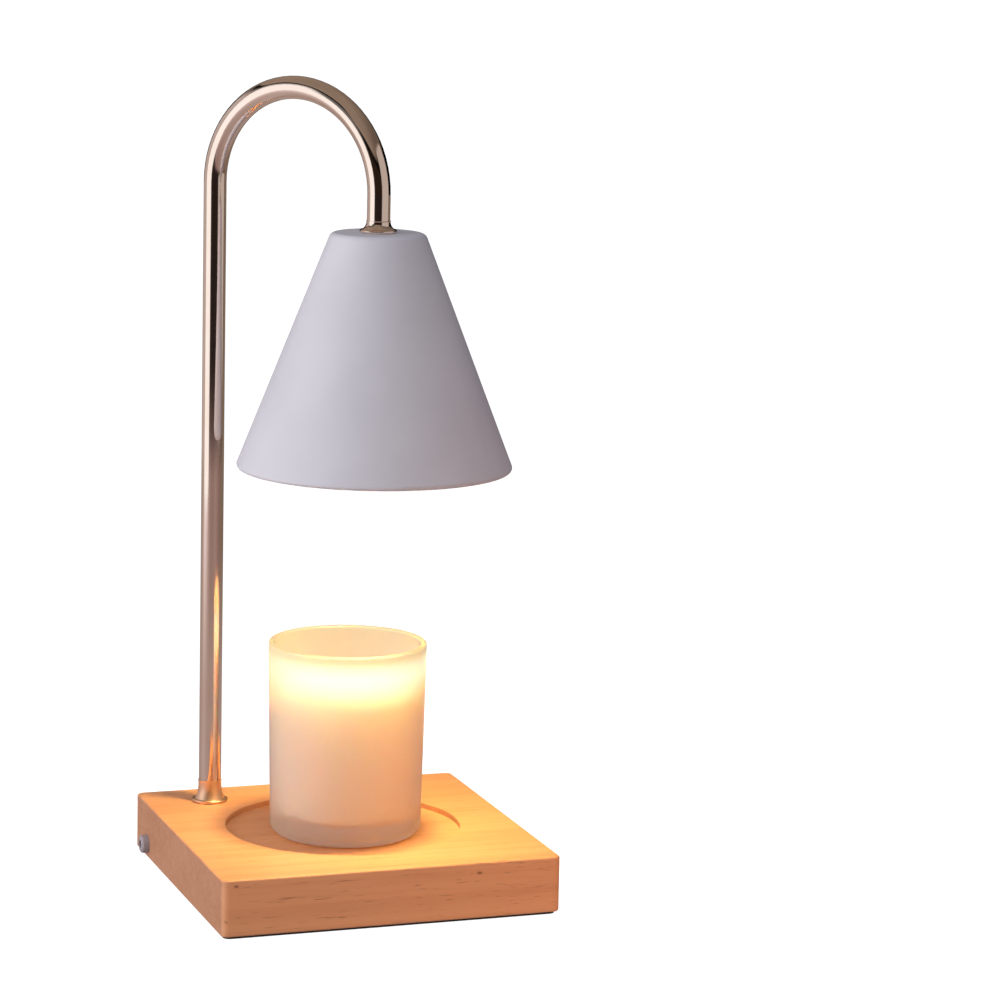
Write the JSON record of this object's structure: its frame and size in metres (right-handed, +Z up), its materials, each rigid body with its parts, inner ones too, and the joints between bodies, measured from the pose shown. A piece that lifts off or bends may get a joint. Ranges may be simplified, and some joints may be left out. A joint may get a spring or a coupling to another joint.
{
  "type": "candle warmer lamp",
  "caption": "Table lamp whose conical shade hangs from an arched tube over a recessed wooden base and melts a jar candle from above.",
  "frame": {"origin": "centre of the square base's underside, on the surface it stands on", "axes": "+Z up along the post, -Y towards the front of the base, +X to the right of it"},
  "size_m": [0.1534, 0.15, 0.3521],
  "materials": {
    "rubberwood": "pale finger-jointed rubberwood, oiled satin",
    "black_foam": "matt closed-cell foam",
    "cover_plastic": "fine moulded texture",
    "zinc_steel": "zinc plated",
    "grommet_plastic": "smooth moulded",
    "rose_gold": "polished rose gold plating",
    "terminal_plastic": "natural nylon",
    "contact_brass": "bright",
    "brown_insulation": "silicone",
    "blue_insulation": "silicone",
    "shade_paint": "matt white powder coat with a lilac cast",
    "white_ceramic": "unglazed steatite",
    "reflector_glass": "pressed reflector glass",
    "lamp_aluminium": "bright rim",
    "clear_glass": "clear",
    "quartz_glass": "clear quartz",
    "frosted_glass": "acid frosted",
    "candle_wax": null,
    "cotton_wick": "braided cotton"
  },
  "bodies": {
    "lamp": {"wooden_base": "rubberwood", "anti_slip_pad": "black_foam", "bottom_cover": "cover_plastic", "cover_screws": "zinc_steel", "cable_grommet": "grommet_plastic", "post_tube": "rose_gold", "foot_collar": "rose_gold", "post_washer": "zinc_steel", "post_lock_nut": "zinc_steel", "terminal_block": "terminal_plastic", "terminal_screws": "contact_brass", "lead_live": "brown_insulation", "lead_neutral": "blue_insulation", "shade_collar": "rose_gold", "shade": "shade_paint", "shade_washer": "zinc_steel", "shade_lock_nut": "zinc_steel", "lampholder_bracket": "zinc_steel", "lampholder_body": "white_ceramic", "lampholder_screws": "zinc_steel", "lampholder_contacts": "contact_brass"},
    "bulb": {"bulb_cap": "white_ceramic", "bulb_pins": "contact_brass", "bulb_reflector": "reflector_glass", "bulb_rim": "lamp_aluminium", "bulb_lens": "clear_glass", "bulb_capsule": "quartz_glass"},
    "candle": {"candle_glass": "frosted_glass", "candle_wax": "candle_wax", "candle_wick": "cotton_wick", "wick_sustainer": "zinc_steel"}
  },
  "joints": [
    {"name": "bulb_twist", "type": "hinge", "parent": "lamp", "child": "bulb", "pos_m": [0.00737, -0.01392, 0.2519], "axis": [0, 0, -1], "range_deg": [0, 30]},
    {"name": "candle_lift", "type": "slide", "parent": "lamp", "child": "candle", "axis": [0, -0.9397, 0.342], "range_m": [0, 0.16]}
  ]
}
